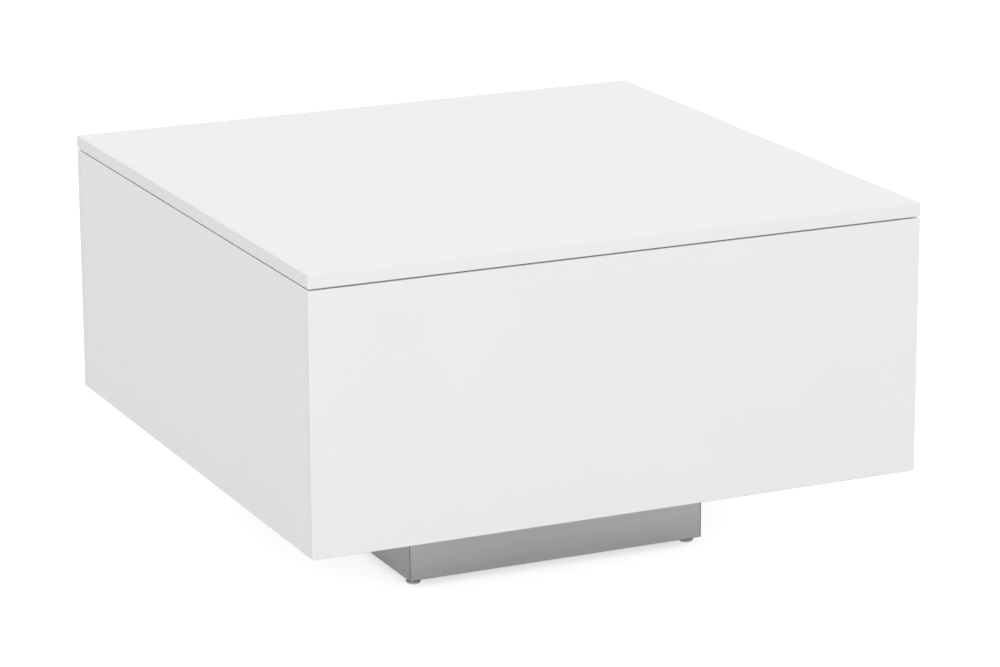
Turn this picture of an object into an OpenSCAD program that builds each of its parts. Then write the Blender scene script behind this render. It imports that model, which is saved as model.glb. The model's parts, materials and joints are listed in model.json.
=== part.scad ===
// Storage coffee table: a square lacquered cabinet on a smaller metal-clad plinth.
// The top is a lid. It rises and comes forward on two pairs of parallel arms.
// The front is -Y and up is +Z. The origin is on the floor, under the middle of the table.

/* [Table] */
// Width of the table, left to right
table_w = 700; // [620:10:900]
// Depth of the table, front to back
table_d = 700; // [620:10:900]
// Height of the cabinet's side boards
cabinet_h = 281; // [220:1:340]
// Thickness of the cabinet's boards
board_t = 15; // [13:0.5:19]
// Thickness of the lid
lid_t = 15; // [13:0.5:25]
// Shadow gap between the cabinet and the lid
lid_gap = 1.5; // [1:0.25:4]
// Radius of the eased edges of the lacquered boards
edge_r = 1; // [0.5:0.25:2]

/* [Plinth] */
// Width of the plinth, outside its cladding
plinth_w = 350; // [260:5:460]
// Depth of the plinth, outside its cladding
plinth_d = 380; // [260:5:460]
// Height of the plinth
plinth_h = 98; // [80:1:140]
// Thickness of the plinth's boards
plinth_t = 19; // [16:0.5:22]
// Thickness of the metal-faced cladding
clad_t = 1.2; // [0.5:0.1:1.6]
// Width of the square blocks in the plinth's corners
block_w = 28; // [26:1:36]
// Height of the corner blocks
block_h = 60; // [50:1:70]

/* [Feet] */
// Height of the plinth above the floor with the feet screwed in
foot_h = 7.5; // [5:0.5:12]
// Diameter of a foot's pad at its rim
foot_d = 16; // [14:0.5:26]
// Diameter of the flat that a foot stands on
foot_flat_d = 10; // [8:0.5:12]
// Height of a foot's pad
foot_pad_h = 3; // [2.8:0.1:4.5]
// Distance from the plinth's front or back face to a foot's centre
foot_inset = 15; // [12:1:40]
// Diameter of a foot's threaded stud
stud_d = 6; // [5:0.5:7]
// Length of a foot's stud above its pad
stud_len = 22; // [18:1:30]
// Diameter of the insert nut that a stud turns in
nut_d = 9.5; // [8.5:0.5:11]
// Length of the insert nut
nut_len = 13; // [10:1:16]

/* [Board joints] */
// Distance from a board's corner to its cam bolts
bolt_inset = 50; // [40:1:65]
// Distance from a board's corner to its dowels
dowel_inset = 82; // [78:1:95]
// Diameter of the wooden dowels
dowel_d = 8; // [6:1:8]
// Length of the wooden dowels
dowel_len = 30; // [26:1:35]
// Diameter of the cam locks
cam_d = 15; // [12:0.5:16]
// Depth of wood left behind a cam lock
cam_skin = 2.5; // [2:0.25:3]
// Distance from a joint to its cam lock's centre
cam_setback = 34; // [28:1:36]
// Diameter of a cam bolt's shank
bolt_d = 7; // [6:0.5:7]
// Length of a cam bolt's thread
bolt_thread = 10.5; // [8:0.5:11]

/* [Lift mechanism] */
// Distance between the two pivots of an arm
arm_len = 200; // [170:5:220]
// Width of an arm
arm_w = 25; // [20:1:28]
// Thickness of an arm
arm_t = 4; // [3:0.5:5]
// Distance between the front and the rear arm's pivots
arm_spacing = 80; // [74:1:95]
// Slope from the front arm's pivot back to the rear arm's, in degrees
spacing_slope = -40; // [-48:1:-34]
// Slope of the arms when the lid is shut, in degrees
shut_angle = 10; // [7:1:14]
// Turn of the arms from shut to open, in degrees
lift_turn = 100; // [85:1:104]
// Distance of the front arm's lower pivot in front of the table's middle
pivot_forward = 120; // [90:5:160]
// Distance of the front arm's upper pivot below the lid
pivot_drop = 22; // [19:1:28]
// Thickness of the bracket plates
plate_t = 2; // [1.5:0.25:3]
// Diameter of the pivot pins
pin_d = 8; // [6:0.5:9]
// Thickness of the washers beside the arms
washer_t = 1; // [0.8:0.1:1.5]
// Length of a lid bracket in front of the table's middle
bracket_front = 250; // [200:5:280]
// Length of a lid bracket behind the table's middle
bracket_back = 200; // [180:5:260]
// Width of a lid bracket's flange
flange_w = 30; // [26:1:40]
// Height of a lid bracket's web
web_h = 18; // [14:1:20]

/* [Gas struts] */
// Distance from the front arm's lower pivot to both ends of the strut
strut_lever = 95; // [92:1:104]
// Angle at that pivot between the strut's two ends, when shut, in degrees
strut_shut_angle = 75; // [74:1:76]
// Diameter of a strut's tube
tube_d = 15; // [12:0.5:16]
// Wall of a strut's tube
tube_wall = 1; // [0.8:0.1:1.5]
// Diameter of a strut's rod
rod_d = 6; // [5:0.5:7]
// Diameter of a strut's eyes
eye_d = 14; // [13:0.5:15]
// Width of a strut's eyes
eye_w = 8; // [6:0.5:9]
// Diameter of the pins in a strut's eyes
eye_pin_d = 6; // [5:0.5:7]
// Distance of a strut's middle from its arm
strut_offset = 12; // [11:0.5:15]

/* [Fasteners and bumpers] */
// Diameter of a wood screw's shank
screw_d = 4; // [3:0.5:4.5]
// Depth that a screw enters a cabinet board or the lid
screw_bite = 10; // [8:0.5:11]
// Diameter of a screw's head
screw_head_d = 8; // [7:0.5:9]
// Diameter of the bumpers under the lid
bumper_d = 8; // [6:0.5:10]
// Distance from the table's front or back face to a bumper
bumper_inset = 60; // [40:5:110]

/* [Hidden] */
$fn = 48;

// Clearances
running = 0.05; // between a pin and the bore that turns on it
loose = 0.15; // in the rear arm's upper bore, so that four pivots never bind
play = 0.1; // end play of an arm or an eye on its pin
snug = 0.05; // round a dowel or a fitting in its bore
over = 1; // how far a cut runs past the face that it opens

// Heights
cabinet_z = foot_h + plinth_h;
cabinet_top = cabinet_z + cabinet_h;
lid_z = cabinet_top + lid_gap;
floor_z = cabinet_z + board_t;

// Inner faces of the cabinet, and the planes across a mechanism from the left wall inwards
inner_x = table_w / 2 - board_t;
inner_y = table_d / 2 - board_t;
plate_x = -inner_x;
plate_face_x = plate_x + plate_t;
arm_x = plate_face_x + washer_t + play;
arm_face_x = arm_x + arm_t;
lid_washer_x = arm_face_x + play;
web_x = lid_washer_x + washer_t;
web_face_x = web_x + plate_t;
strut_x = arm_face_x + strut_offset;

// Pivots of a mechanism with the lid shut, as [y, z]
function direction(angle) = [cos(angle), sin(angle)];
arm_reach = arm_len * direction(shut_angle);
front_pivot = [-pivot_forward, lid_z - pivot_drop - arm_reach.y];
rear_pivot = front_pivot + arm_spacing * direction(spacing_slope);
front_lid_pivot = front_pivot + arm_reach;
rear_lid_pivot = rear_pivot + arm_reach;
strut_anchor = front_pivot + strut_lever * direction(shut_angle - strut_shut_angle);
strut_pin = front_pivot + strut_lever * direction(shut_angle);

// Pins, their heads and the stop that holds the front arm when open
head_t = 1.5;
pin_lip = 2.5; // how far a pin's head reaches past it
washer_lip = 4; // how far a washer reaches past its pin
eye_lip = 1.5; // how far an eye pin's shoulder and head reach past it
stop_d = 8;
stop_lip = 1; // how far the stop reaches past its rivet
pin_head_d = pin_d + 2 * pin_lip;
washer_d = pin_d + 2 * washer_lip;
eye_shoulder_d = eye_pin_d + 2 * eye_lip;
stop_rivet_d = stop_d - 2 * stop_lip;
stop_reach = 25;
stop_clearance = 0.3;
open_angle = shut_angle + lift_turn;
stop_point = front_pivot + stop_reach * direction(open_angle)
    + (arm_w / 2 + stop_d / 2 + stop_clearance) * direction(open_angle + 90);

// Outline of a base bracket, before its corners are rounded, and its screws
base_corner_r = 12;
base_outline = [
    front_pivot + [-34, 12], front_pivot + [30, 12], rear_pivot + [26, 6],
    strut_anchor + [14, -8], strut_anchor + [-30, -8], front_pivot + [-34, -40]
];
base_screws = [
    front_pivot + [-34, -10], front_pivot + [32, 8],
    rear_pivot + [24, 2], strut_anchor + [-24, -4]
];

// Outline of a lid bracket's ear, and the screws along its flange
ear_corner_r = 14;
ear_gap = 1; // between the rounded ear and the lid
ear_top_z = lid_z - ear_corner_r - ear_gap;
ear_outline = [
    front_lid_pivot, rear_lid_pivot,
    [rear_lid_pivot.x, ear_top_z], [front_lid_pivot.x, ear_top_z]
];
flange_screw_inset = 20;
flange_screw_x = web_x + flange_w * 0.6;
flange_screw_gap = (bracket_front + bracket_back - 2 * flange_screw_inset) / 3;
flange_screws = [for (i = [0:3]) -bracket_front + flange_screw_inset + i * flange_screw_gap];
screw_head_t = 2.4;
screw_head_taper = 1.5;

// Along a strut from its anchor
strut_slope = 90 + shut_angle - strut_shut_angle / 2;
strut_shut_len = 2 * strut_lever * sin(strut_shut_angle / 2);
eye_neck = 2;
eye_step = 1; // how far an eye's flats stand out past its neck
eye_neck_d = eye_w - 2 * eye_step;
tube_start = eye_d / 2 + eye_neck;
tube_gap = 4; // from the tube's end to the rod's eye with the strut shut
tube_end = strut_shut_len - eye_d / 2 - tube_gap;
tube_floor_t = 2;
piston_gap = 1; // from the tube's floor to the piston with the strut shut
piston_start = tube_start + tube_floor_t + piston_gap;
piston_t = 5;
guide_t = 5;
guide_lip_t = 1;

// Plinth
plinth_inner_x = plinth_w / 2 - clad_t - plinth_t;
plinth_inner_y = plinth_d / 2 - clad_t - plinth_t;
foot_x = plinth_inner_x + plinth_t / 2;
foot_y = plinth_d / 2 - foot_inset;
foot_wall = 0.8;
foot_floor = 1.2;
foot_boss_wall = 1.4; // round the stud
foot_seat = foot_pad_h / 3; // height of the stud's lower end
stud_tip = 0.8;
stud_room = 0.5; // round a foot's stud above its nut
block_screw_inset = 8;
block_screw_rise = 12;
fixing_inset = 19;
fixing_bore_d = 10;
fixing_bore_h = 20;
fixing_bite = 11;

// Cam locks
cam_depth = board_t - cam_skin;
cam_room = 0.2; // round a cam bolt in its cam
cam_recess_w = 1.4;
cam_recess_depth = 1.5;
cam_cover_lip = 1;
cam_cover_d = cam_d + 2 * cam_cover_lip;
cam_cover_t = 1;
cam_head_len = 3;
cam_neck_len = 6;
bolt_room = 0.5; // round a cam bolt in its bore
bolt_step = 0.3;
bolt_head_d = bolt_d - 2 * bolt_step;
bolt_neck_d = 4.4;
bolt_thread_d = 5;

// Bumpers
bumper_taper = 1;

// Colours
lacquer = [0.95, 0.95, 0.94];
metal_clad = [0.62, 0.61, 0.60];
zinc = [0.75, 0.76, 0.78];
dark_steel = [0.22, 0.23, 0.25];
bright_steel = [0.86, 0.87, 0.88];
plain_wood = [0.80, 0.66, 0.47];
grey_plastic = [0.60, 0.60, 0.59];
white_plastic = [0.92, 0.92, 0.91];
clear_rubber = [0.85, 0.87, 0.88];

// Shapes that repeat

module rounded_rect(w, h, r) {
    translate([r, 0]) square([w - 2 * r, h]);
    translate([0, r]) square([w, h - 2 * r]);
    for (x = [r, w - r], y = [r, h - r]) translate([x, y]) circle(r);
}

// A straight bar with round ends, from p to q
module stadium(p, q, r) {
    span = norm(q - p);
    translate(p) rotate(atan2(q.y - p.y, q.x - p.x)) {
        translate([0, -r]) square([span, 2 * r]);
        circle(r);
        translate([span, 0]) circle(r);
    }
}

// A flat outline grown by r, with round corners
module rounded_plate(points, r) {
    count = len(points);
    polygon(points);
    for (i = [0:count - 1]) stadium(points[i], points[(i + 1) % count], r);
}

// Stands a [y, z] outline up between two planes across the table
module across(x0, x1) {
    translate([x0, 0, 0]) rotate([90, 0, 90]) linear_extrude(x1 - x0) children();
}

// A round bar across the table at a [y, z] point
module cross_bar(point, x0, x1, d) {
    translate([x0, point.x, point.y]) rotate([0, 90, 0]) cylinder(d = d, h = x1 - x0);
}

// A box between two corners, with all its edges eased
module eased_box(low, high, r) {
    size = high - low;
    translate(low) intersection() {
        linear_extrude(size.z) rounded_rect(size.x, size.y, r);
        rotate([90, 0, 90]) linear_extrude(size.x) rounded_rect(size.y, size.z, r);
        translate([0, size.y, 0]) rotate([90, 0, 0]) linear_extrude(size.y) rounded_rect(size.x, size.z, r);
    }
}

module plain_box(low, high) {
    translate(low) cube(high - low);
}

module right_side() {
    mirror([1, 0, 0]) children();
}

module both_sides() {
    children();
    right_side() children();
}

module four_corners() {
    both_sides() {
        children();
        mirror([0, 1, 0]) children();
    }
}

// A wood screw along +Z with its head below z = 0, or sunk above it
module pan_screw(shank) {
    translate([0, 0, -screw_head_t])
        cylinder(d1 = screw_head_d - screw_head_taper, d2 = screw_head_d, h = screw_head_t);
    cylinder(d = screw_d, h = shank);
}

module sunk_screw(shank) {
    cylinder(d1 = screw_head_d - 2 * play, d2 = screw_d, h = (screw_head_d - screw_d) / 2 - play);
    cylinder(d = screw_d, h = shank);
}

// Joints between the boards
// In a joint's own frame the joint face is x = 0, the drilled board's end lies along +X,
// and its cam lock opens on the face at -Y.

module corner_joints(inset) {
    four_corners()
        for (z = [cabinet_z + inset, cabinet_top - inset])
            translate([-(table_w - board_t) / 2, -inner_y, z]) rotate([0, 0, 90]) children();
}

module base_end_joints(inset) {
    four_corners()
        translate([-inner_x, -(inner_y - inset), cabinet_z + board_t / 2]) rotate([90, 0, 0]) children();
}

module base_side_dowels() {
    four_corners()
        translate([-(inner_x - dowel_inset), -inner_y, cabinet_z + board_t / 2])
            rotate([0, 0, 90]) children();
}

module cam_spots() {
    corner_joints(bolt_inset) children();
    base_end_joints(bolt_inset) children();
}

module dowel_spots() {
    corner_joints(dowel_inset) children();
    base_end_joints(dowel_inset) children();
    base_side_dowels() children();
}

module bar(x0, x1, d) {
    translate([x0, 0, 0]) rotate([0, 90, 0]) cylinder(d = d, h = x1 - x0);
}

module joint_bores() {
    cam_spots() {
        translate([cam_setback, 0, 0]) rotate([90, 0, 0])
            translate([0, 0, board_t / 2 - cam_depth]) cylinder(d = cam_d, h = cam_depth + over);
        bar(0, cam_setback, bolt_d + 2 * bolt_room);
        bar(-bolt_thread, 0, bolt_thread_d);
    }
    dowel_spots() bar(-dowel_len / 3 - snug, dowel_len * 2 / 3 + snug, dowel_d + 2 * snug);
}

module cam_locks() {
    recess = cam_d * 0.42;
    color(zinc) cam_spots() translate([cam_setback, 0, 0]) difference() {
        rotate([90, 0, 0]) translate([0, 0, board_t / 2 - cam_depth])
            cylinder(d = cam_d - 2 * snug, h = cam_depth - play);
        bar(-cam_d, cam_head_len, bolt_d + 2 * cam_room);
        translate([0, -board_t / 2, 0]) for (turn = [0, 90])
            rotate([0, turn, 0]) cube([recess, 2 * cam_recess_depth, cam_recess_w], center = true);
    }
}

module cam_bolts() {
    color(zinc) cam_spots() {
        bar(-bolt_thread, 0, bolt_thread_d);
        bar(0, cam_setback - cam_neck_len, bolt_d);
        bar(cam_setback - cam_neck_len, cam_setback, bolt_neck_d);
        bar(cam_setback - cam_head_len / 2, cam_setback + cam_head_len / 2, bolt_head_d);
    }
}

module cam_covers() {
    color(white_plastic) cam_spots() translate([cam_setback, -board_t / 2, 0]) rotate([90, 0, 0])
        cylinder(d1 = cam_cover_d, d2 = cam_cover_d - cam_cover_t, h = cam_cover_t);
}

module wood_dowels() {
    tip = 1.5;
    color(plain_wood) dowel_spots() rotate([0, 90, 0]) translate([0, 0, -dowel_len / 3]) {
        cylinder(d1 = dowel_d - tip, d2 = dowel_d, h = tip);
        translate([0, 0, tip]) cylinder(d = dowel_d, h = dowel_len - 2 * tip);
        translate([0, 0, dowel_len - tip]) cylinder(d1 = dowel_d, d2 = dowel_d - tip, h = tip);
    }
}

// Cabinet

module front_panel() {
    color(lacquer) difference() {
        eased_box([-table_w / 2, -table_d / 2, cabinet_z], [table_w / 2, -inner_y, cabinet_top], edge_r);
        joint_bores();
    }
}

module back_panel() {
    color(lacquer) difference() {
        eased_box([-table_w / 2, inner_y, cabinet_z], [table_w / 2, table_d / 2, cabinet_top], edge_r);
        joint_bores();
    }
}

module base_screw_bores() {
    for (point = base_screws) cross_bar(point, plate_x - screw_bite, plate_x + over, screw_d);
}

module left_panel() {
    color(lacquer) difference() {
        eased_box([-table_w / 2, -inner_y, cabinet_z], [-inner_x, inner_y, cabinet_top], edge_r);
        joint_bores();
        base_screw_bores();
    }
}

module right_panel() {
    right_side() left_panel();
}

module base_board() {
    color(lacquer) difference() {
        plain_box([-inner_x, -inner_y, cabinet_z], [inner_x, inner_y, floor_z]);
        joint_bores();
        fixing_spots() cylinder(d = screw_d, h = block_h + fixing_bite);
    }
}

// Plinth

module plinth_front_board() {
    color(plain_wood) difference() {
        plain_box([-plinth_inner_x, -plinth_inner_y - plinth_t, foot_h],
            [plinth_inner_x, -plinth_inner_y, cabinet_z]);
        block_screw_spots() cylinder(d = screw_d, h = block_w + screw_bite);
    }
}

module plinth_back_board() {
    mirror([0, 1, 0]) plinth_front_board();
}

module plinth_left_board() {
    color(plain_wood) difference() {
        plain_box([-plinth_inner_x - plinth_t, -plinth_inner_y - plinth_t, foot_h],
            [-plinth_inner_x, plinth_inner_y + plinth_t, cabinet_z]);
        block_screw_spots() cylinder(d = screw_d, h = block_w + screw_bite);
        foot_spots() {
            translate([0, 0, -over]) cylinder(d = nut_d, h = nut_len + over);
            cylinder(d = stud_d + 2 * stud_room, h = stud_len + over);
        }
    }
}

module plinth_right_board() {
    right_side() plinth_left_board();
}

module plinth_front_cladding() {
    color(metal_clad) plain_box([-plinth_w / 2 + clad_t, -plinth_d / 2, foot_h],
        [plinth_w / 2 - clad_t, -plinth_d / 2 + clad_t, cabinet_z]);
}

module plinth_back_cladding() {
    mirror([0, 1, 0]) plinth_front_cladding();
}

// The side sheets lap the front and back ones, so their cut ends show at the plinth's corners
module plinth_left_cladding() {
    color(metal_clad) plain_box([-plinth_w / 2, -plinth_d / 2, foot_h],
        [-plinth_w / 2 + clad_t, plinth_d / 2, cabinet_z]);
}

module plinth_right_cladding() {
    right_side() plinth_left_cladding();
}

// The screws through the corner blocks start at a block's inner faces
module block_screw_spots() {
    four_corners() {
        translate([-plinth_inner_x + block_w, -plinth_inner_y + block_screw_inset,
            cabinet_z - block_h / 2 + block_screw_rise]) rotate([0, -90, 0]) children();
        translate([-plinth_inner_x + block_screw_inset, -plinth_inner_y + block_w,
            cabinet_z - block_h / 2 - block_screw_rise]) rotate([90, 0, 0]) children();
    }
}

module fixing_spots() {
    four_corners() translate([-plinth_inner_x + fixing_inset, -plinth_inner_y + fixing_inset,
        cabinet_z - block_h]) children();
}

module plinth_corner_blocks() {
    color(plain_wood) difference() {
        four_corners() plain_box([-plinth_inner_x, -plinth_inner_y, cabinet_z - block_h],
            [-plinth_inner_x + block_w, -plinth_inner_y + block_w, cabinet_z]);
        block_screw_spots() translate([0, 0, -over]) cylinder(d = screw_d + 2 * snug, h = block_w + 2 * over);
        fixing_spots() translate([0, 0, -over]) {
            cylinder(d = fixing_bore_d, h = fixing_bore_h + over);
            cylinder(d = screw_d + 2 * snug, h = block_h + 2 * over);
        }
    }
}

module plinth_block_screws() {
    color(zinc) block_screw_spots() pan_screw(block_w + screw_bite);
}

module plinth_fixing_screws() {
    color(zinc) fixing_spots() translate([0, 0, fixing_bore_h])
        pan_screw(block_h - fixing_bore_h + fixing_bite);
}

// Feet

module foot_spots() {
    four_corners() translate([-foot_x, -foot_y, foot_h]) children();
}

module foot_insert_nuts() {
    color(zinc) foot_spots() difference() {
        cylinder(d = nut_d, h = nut_len);
        translate([0, 0, -over]) cylinder(d = stud_d + 2 * running, h = nut_len + 2 * over);
    }
}

// A cup with a boss in its middle that grips the stud
module foot_pad(side_x, side_y) {
    rim_r = foot_d / 2;
    flat_r = foot_flat_d / 2;
    swell = rim_r - flat_r;
    boss_r = stud_d / 2 + foot_boss_wall;
    color(grey_plastic) translate([side_x * foot_x, side_y * foot_y, 0]) difference() {
        rotate_extrude() polygon([
            [0, 0], [flat_r, 0], [flat_r + swell * 0.5, foot_pad_h * 0.2],
            [flat_r + swell * 0.85, foot_pad_h * 0.5], [rim_r, foot_pad_h],
            [rim_r - foot_wall, foot_pad_h], [flat_r + swell * 0.85 - foot_wall, foot_pad_h * 0.55],
            [flat_r + swell * 0.5 - foot_wall / 2, foot_floor], [boss_r, foot_floor],
            [boss_r, foot_pad_h], [0, foot_pad_h]
        ]);
        translate([0, 0, foot_seat]) cylinder(d = stud_d, h = foot_pad_h);
    }
}

module foot_stud(side_x, side_y) {
    length = foot_h - foot_seat + stud_len;
    color(zinc) translate([side_x * foot_x, side_y * foot_y, foot_seat]) {
        cylinder(d = stud_d, h = length - stud_tip);
        translate([0, 0, length - stud_tip]) cylinder(d1 = stud_d, d2 = stud_d - 2 * stud_tip, h = stud_tip);
    }
}

// Lift mechanism, left side, lid shut

module left_base_bracket() {
    sink = (screw_head_d - screw_d) / 2;
    color(zinc) difference() {
        across(plate_x, plate_face_x) {
            rounded_plate(base_outline, base_corner_r);
            stadium(front_pivot, stop_point, base_corner_r);
        }
        for (point = [front_pivot, rear_pivot]) cross_bar(point, plate_x - over, arm_x, pin_d);
        cross_bar(strut_anchor, plate_x - over, arm_x, eye_pin_d);
        cross_bar(stop_point, plate_x - over, arm_x, stop_rivet_d);
        for (point = base_screws) {
            cross_bar(point, plate_x - over, arm_x, screw_d + 2 * snug);
            translate([plate_face_x - sink, point.x, point.y]) rotate([0, 90, 0])
                cylinder(d1 = screw_d, d2 = screw_head_d + 2 * over, h = sink + over);
        }
    }
}

module base_bracket_screws() {
    color(zinc) both_sides() for (point = base_screws)
        translate([plate_face_x - play, point.x, point.y]) rotate([0, -90, 0])
            sunk_screw(plate_t - play + screw_bite);
}

module base_pivot_pins() {
    color(bright_steel) both_sides() for (point = [front_pivot, rear_pivot]) {
        cross_bar(point, plate_x, arm_face_x + play, pin_d);
        cross_bar(point, arm_face_x + play, arm_face_x + play + head_t, pin_head_d);
    }
}

module base_pivot_washers() {
    color(white_plastic) both_sides() for (point = [front_pivot, rear_pivot]) difference() {
        cross_bar(point, plate_face_x, plate_face_x + washer_t, washer_d);
        cross_bar(point, plate_x, arm_face_x, pin_d + 2 * running);
    }
}

// A headed pin for a strut's eye, riveted into the plate or arm that starts at x0 and ends at x1
module eye_pin(point, x0, x1) {
    eye_x0 = strut_x - eye_w / 2 - play;
    eye_x1 = strut_x + eye_w / 2 + play;
    cross_bar(point, x0, eye_x1, eye_pin_d);
    cross_bar(point, x1, eye_x0, eye_shoulder_d);
    cross_bar(point, eye_x1, eye_x1 + head_t, eye_shoulder_d);
}

module strut_anchor_pins() {
    color(bright_steel) both_sides() eye_pin(strut_anchor, plate_x, plate_face_x);
}

module arm_stop_pins() {
    color(bright_steel) both_sides() {
        cross_bar(stop_point, plate_x, plate_face_x, stop_rivet_d);
        cross_bar(stop_point, plate_face_x, arm_face_x, stop_d);
    }
}

module arm(lower, upper, upper_clearance) {
    across(arm_x, arm_face_x) difference() {
        stadium(lower, upper, arm_w / 2);
        translate(lower) circle(d = pin_d + 2 * running);
        translate(upper) circle(d = pin_d + 2 * upper_clearance);
        children();
    }
}

module left_front_arm() {
    color(dark_steel) arm(front_pivot, front_lid_pivot, running)
        translate(strut_pin) circle(d = eye_pin_d);
}

module left_rear_arm() {
    color(dark_steel) arm(rear_pivot, rear_lid_pivot, loose);
}

module left_strut_lever_pin() {
    color(bright_steel) eye_pin(strut_pin, arm_x, arm_face_x);
}

// Along a strut the anchor is the origin and the strut runs along +Z
module on_strut() {
    translate([strut_x, strut_anchor.x, strut_anchor.y]) rotate([strut_slope - 90, 0, 0]) children();
}

module between(z0, z1, d) {
    translate([0, 0, z0]) cylinder(d = d, h = z1 - z0);
}

module strut_eye(z) {
    translate([-eye_w / 2, 0, z]) rotate([0, 90, 0]) cylinder(d = eye_d, h = eye_w);
}

module strut_eye_bore(z) {
    translate([-eye_w, 0, z]) rotate([0, 90, 0]) cylinder(d = eye_pin_d + 2 * running, h = 2 * eye_w);
}

module left_strut_tube() {
    color(dark_steel) on_strut() difference() {
        union() {
            strut_eye(0);
            between(0, tube_start + tube_floor_t / 2, eye_neck_d);
            between(tube_start, tube_end, tube_d);
        }
        strut_eye_bore(0);
        between(tube_start + tube_floor_t, tube_end + over, tube_d - 2 * tube_wall);
    }
}

module left_strut_guide() {
    color(dark_steel) on_strut() difference() {
        union() {
            between(tube_end - guide_t, tube_end + guide_lip_t, tube_d - 2 * tube_wall);
            between(tube_end, tube_end + guide_lip_t, tube_d - tube_wall);
        }
        between(0, strut_shut_len, rod_d + 2 * running);
    }
}

module left_strut_rod() {
    color(bright_steel) on_strut() difference() {
        union() {
            between(piston_start, strut_shut_len, rod_d);
            strut_eye(strut_shut_len);
        }
        strut_eye_bore(strut_shut_len);
    }
}

module left_strut_piston() {
    color(dark_steel) on_strut() difference() {
        between(piston_start, piston_start + piston_t, tube_d - 2 * tube_wall - 2 * play);
        between(0, strut_shut_len, rod_d);
    }
}

// Lid

module flange_screw_spots() {
    for (y = flange_screws) translate([flange_screw_x, y, lid_z - plate_t]) children();
}

module lid_board() {
    color(lacquer) difference() {
        eased_box([-table_w / 2, -table_d / 2, lid_z], [table_w / 2, table_d / 2, lid_z + lid_t], edge_r);
        both_sides() flange_screw_spots() cylinder(d = screw_d, h = plate_t + screw_bite);
    }
}

module left_lid_bracket() {
    color(zinc) difference() {
        union() {
            across(web_x, web_face_x) {
                rounded_plate(ear_outline, ear_corner_r);
                translate([-bracket_front, lid_z - web_h])
                    square([bracket_front + bracket_back, web_h]);
            }
            plain_box([web_x, -bracket_front, lid_z - plate_t], [web_x + flange_w, bracket_back, lid_z]);
        }
        for (point = [front_lid_pivot, rear_lid_pivot])
            cross_bar(point, web_x - over, web_face_x + over, pin_d);
        flange_screw_spots() translate([0, 0, -over])
            cylinder(d = screw_d + 2 * snug, h = plate_t + 2 * over);
    }
}

module lid_bracket_screws() {
    color(zinc) both_sides() flange_screw_spots() pan_screw(plate_t + screw_bite);
}

module lid_pivot_pins() {
    color(bright_steel) both_sides() for (point = [front_lid_pivot, rear_lid_pivot]) {
        cross_bar(point, arm_x - play - head_t, arm_x - play, pin_head_d);
        cross_bar(point, arm_x - play, web_face_x, pin_d);
        cross_bar(point, web_face_x, web_face_x + head_t, pin_head_d);
    }
}

module lid_pivot_washers() {
    color(white_plastic) both_sides() for (point = [front_lid_pivot, rear_lid_pivot]) difference() {
        cross_bar(point, lid_washer_x, web_x, washer_d);
        cross_bar(point, arm_x, web_face_x, pin_d + 2 * running);
    }
}

module lid_bumpers() {
    color(clear_rubber) four_corners()
        translate([-(table_w - board_t) / 2, -(table_d / 2 - bumper_inset), cabinet_top])
            cylinder(d1 = bumper_d, d2 = bumper_d - bumper_taper, h = lid_gap);
}

front_panel();
back_panel();
left_panel();
right_panel();
base_board();
cam_locks();
cam_bolts();
cam_covers();
wood_dowels();
plinth_front_board();
plinth_back_board();
plinth_left_board();
plinth_right_board();
plinth_front_cladding();
plinth_back_cladding();
plinth_left_cladding();
plinth_right_cladding();
plinth_corner_blocks();
plinth_block_screws();
plinth_fixing_screws();
foot_insert_nuts();
foot_pad(-1, -1);  // foot_pad_front_left
foot_pad(1, -1);  // foot_pad_front_right
foot_pad(-1, 1);  // foot_pad_back_left
foot_pad(1, 1);  // foot_pad_back_right
foot_stud(-1, -1);  // foot_stud_front_left
foot_stud(1, -1);  // foot_stud_front_right
foot_stud(-1, 1);  // foot_stud_back_left
foot_stud(1, 1);  // foot_stud_back_right
left_base_bracket();
right_side() left_base_bracket();  // right_base_bracket
base_bracket_screws();
base_pivot_pins();
base_pivot_washers();
strut_anchor_pins();
arm_stop_pins();
left_front_arm();
left_rear_arm();
left_strut_lever_pin();
right_side() left_front_arm();  // right_front_arm
right_side() left_rear_arm();  // right_rear_arm
right_side() left_strut_lever_pin();  // right_strut_lever_pin
left_strut_tube();
left_strut_guide();
left_strut_rod();
left_strut_piston();
right_side() left_strut_tube();  // right_strut_tube
right_side() left_strut_guide();  // right_strut_guide
right_side() left_strut_rod();  // right_strut_rod
right_side() left_strut_piston();  // right_strut_piston
lid_board();
left_lid_bracket();
right_side() left_lid_bracket();  // right_lid_bracket
lid_bracket_screws();
lid_pivot_pins();
lid_pivot_washers();
lid_bumpers();
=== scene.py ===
"""Storage coffee table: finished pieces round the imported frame, in a plain studio."""

import json
from math import cos, pi, radians, sin

import bmesh
import bpy
from bpy.props import FloatProperty, FloatVectorProperty, IntProperty, PointerProperty
from mathutils import Matrix, Vector


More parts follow.
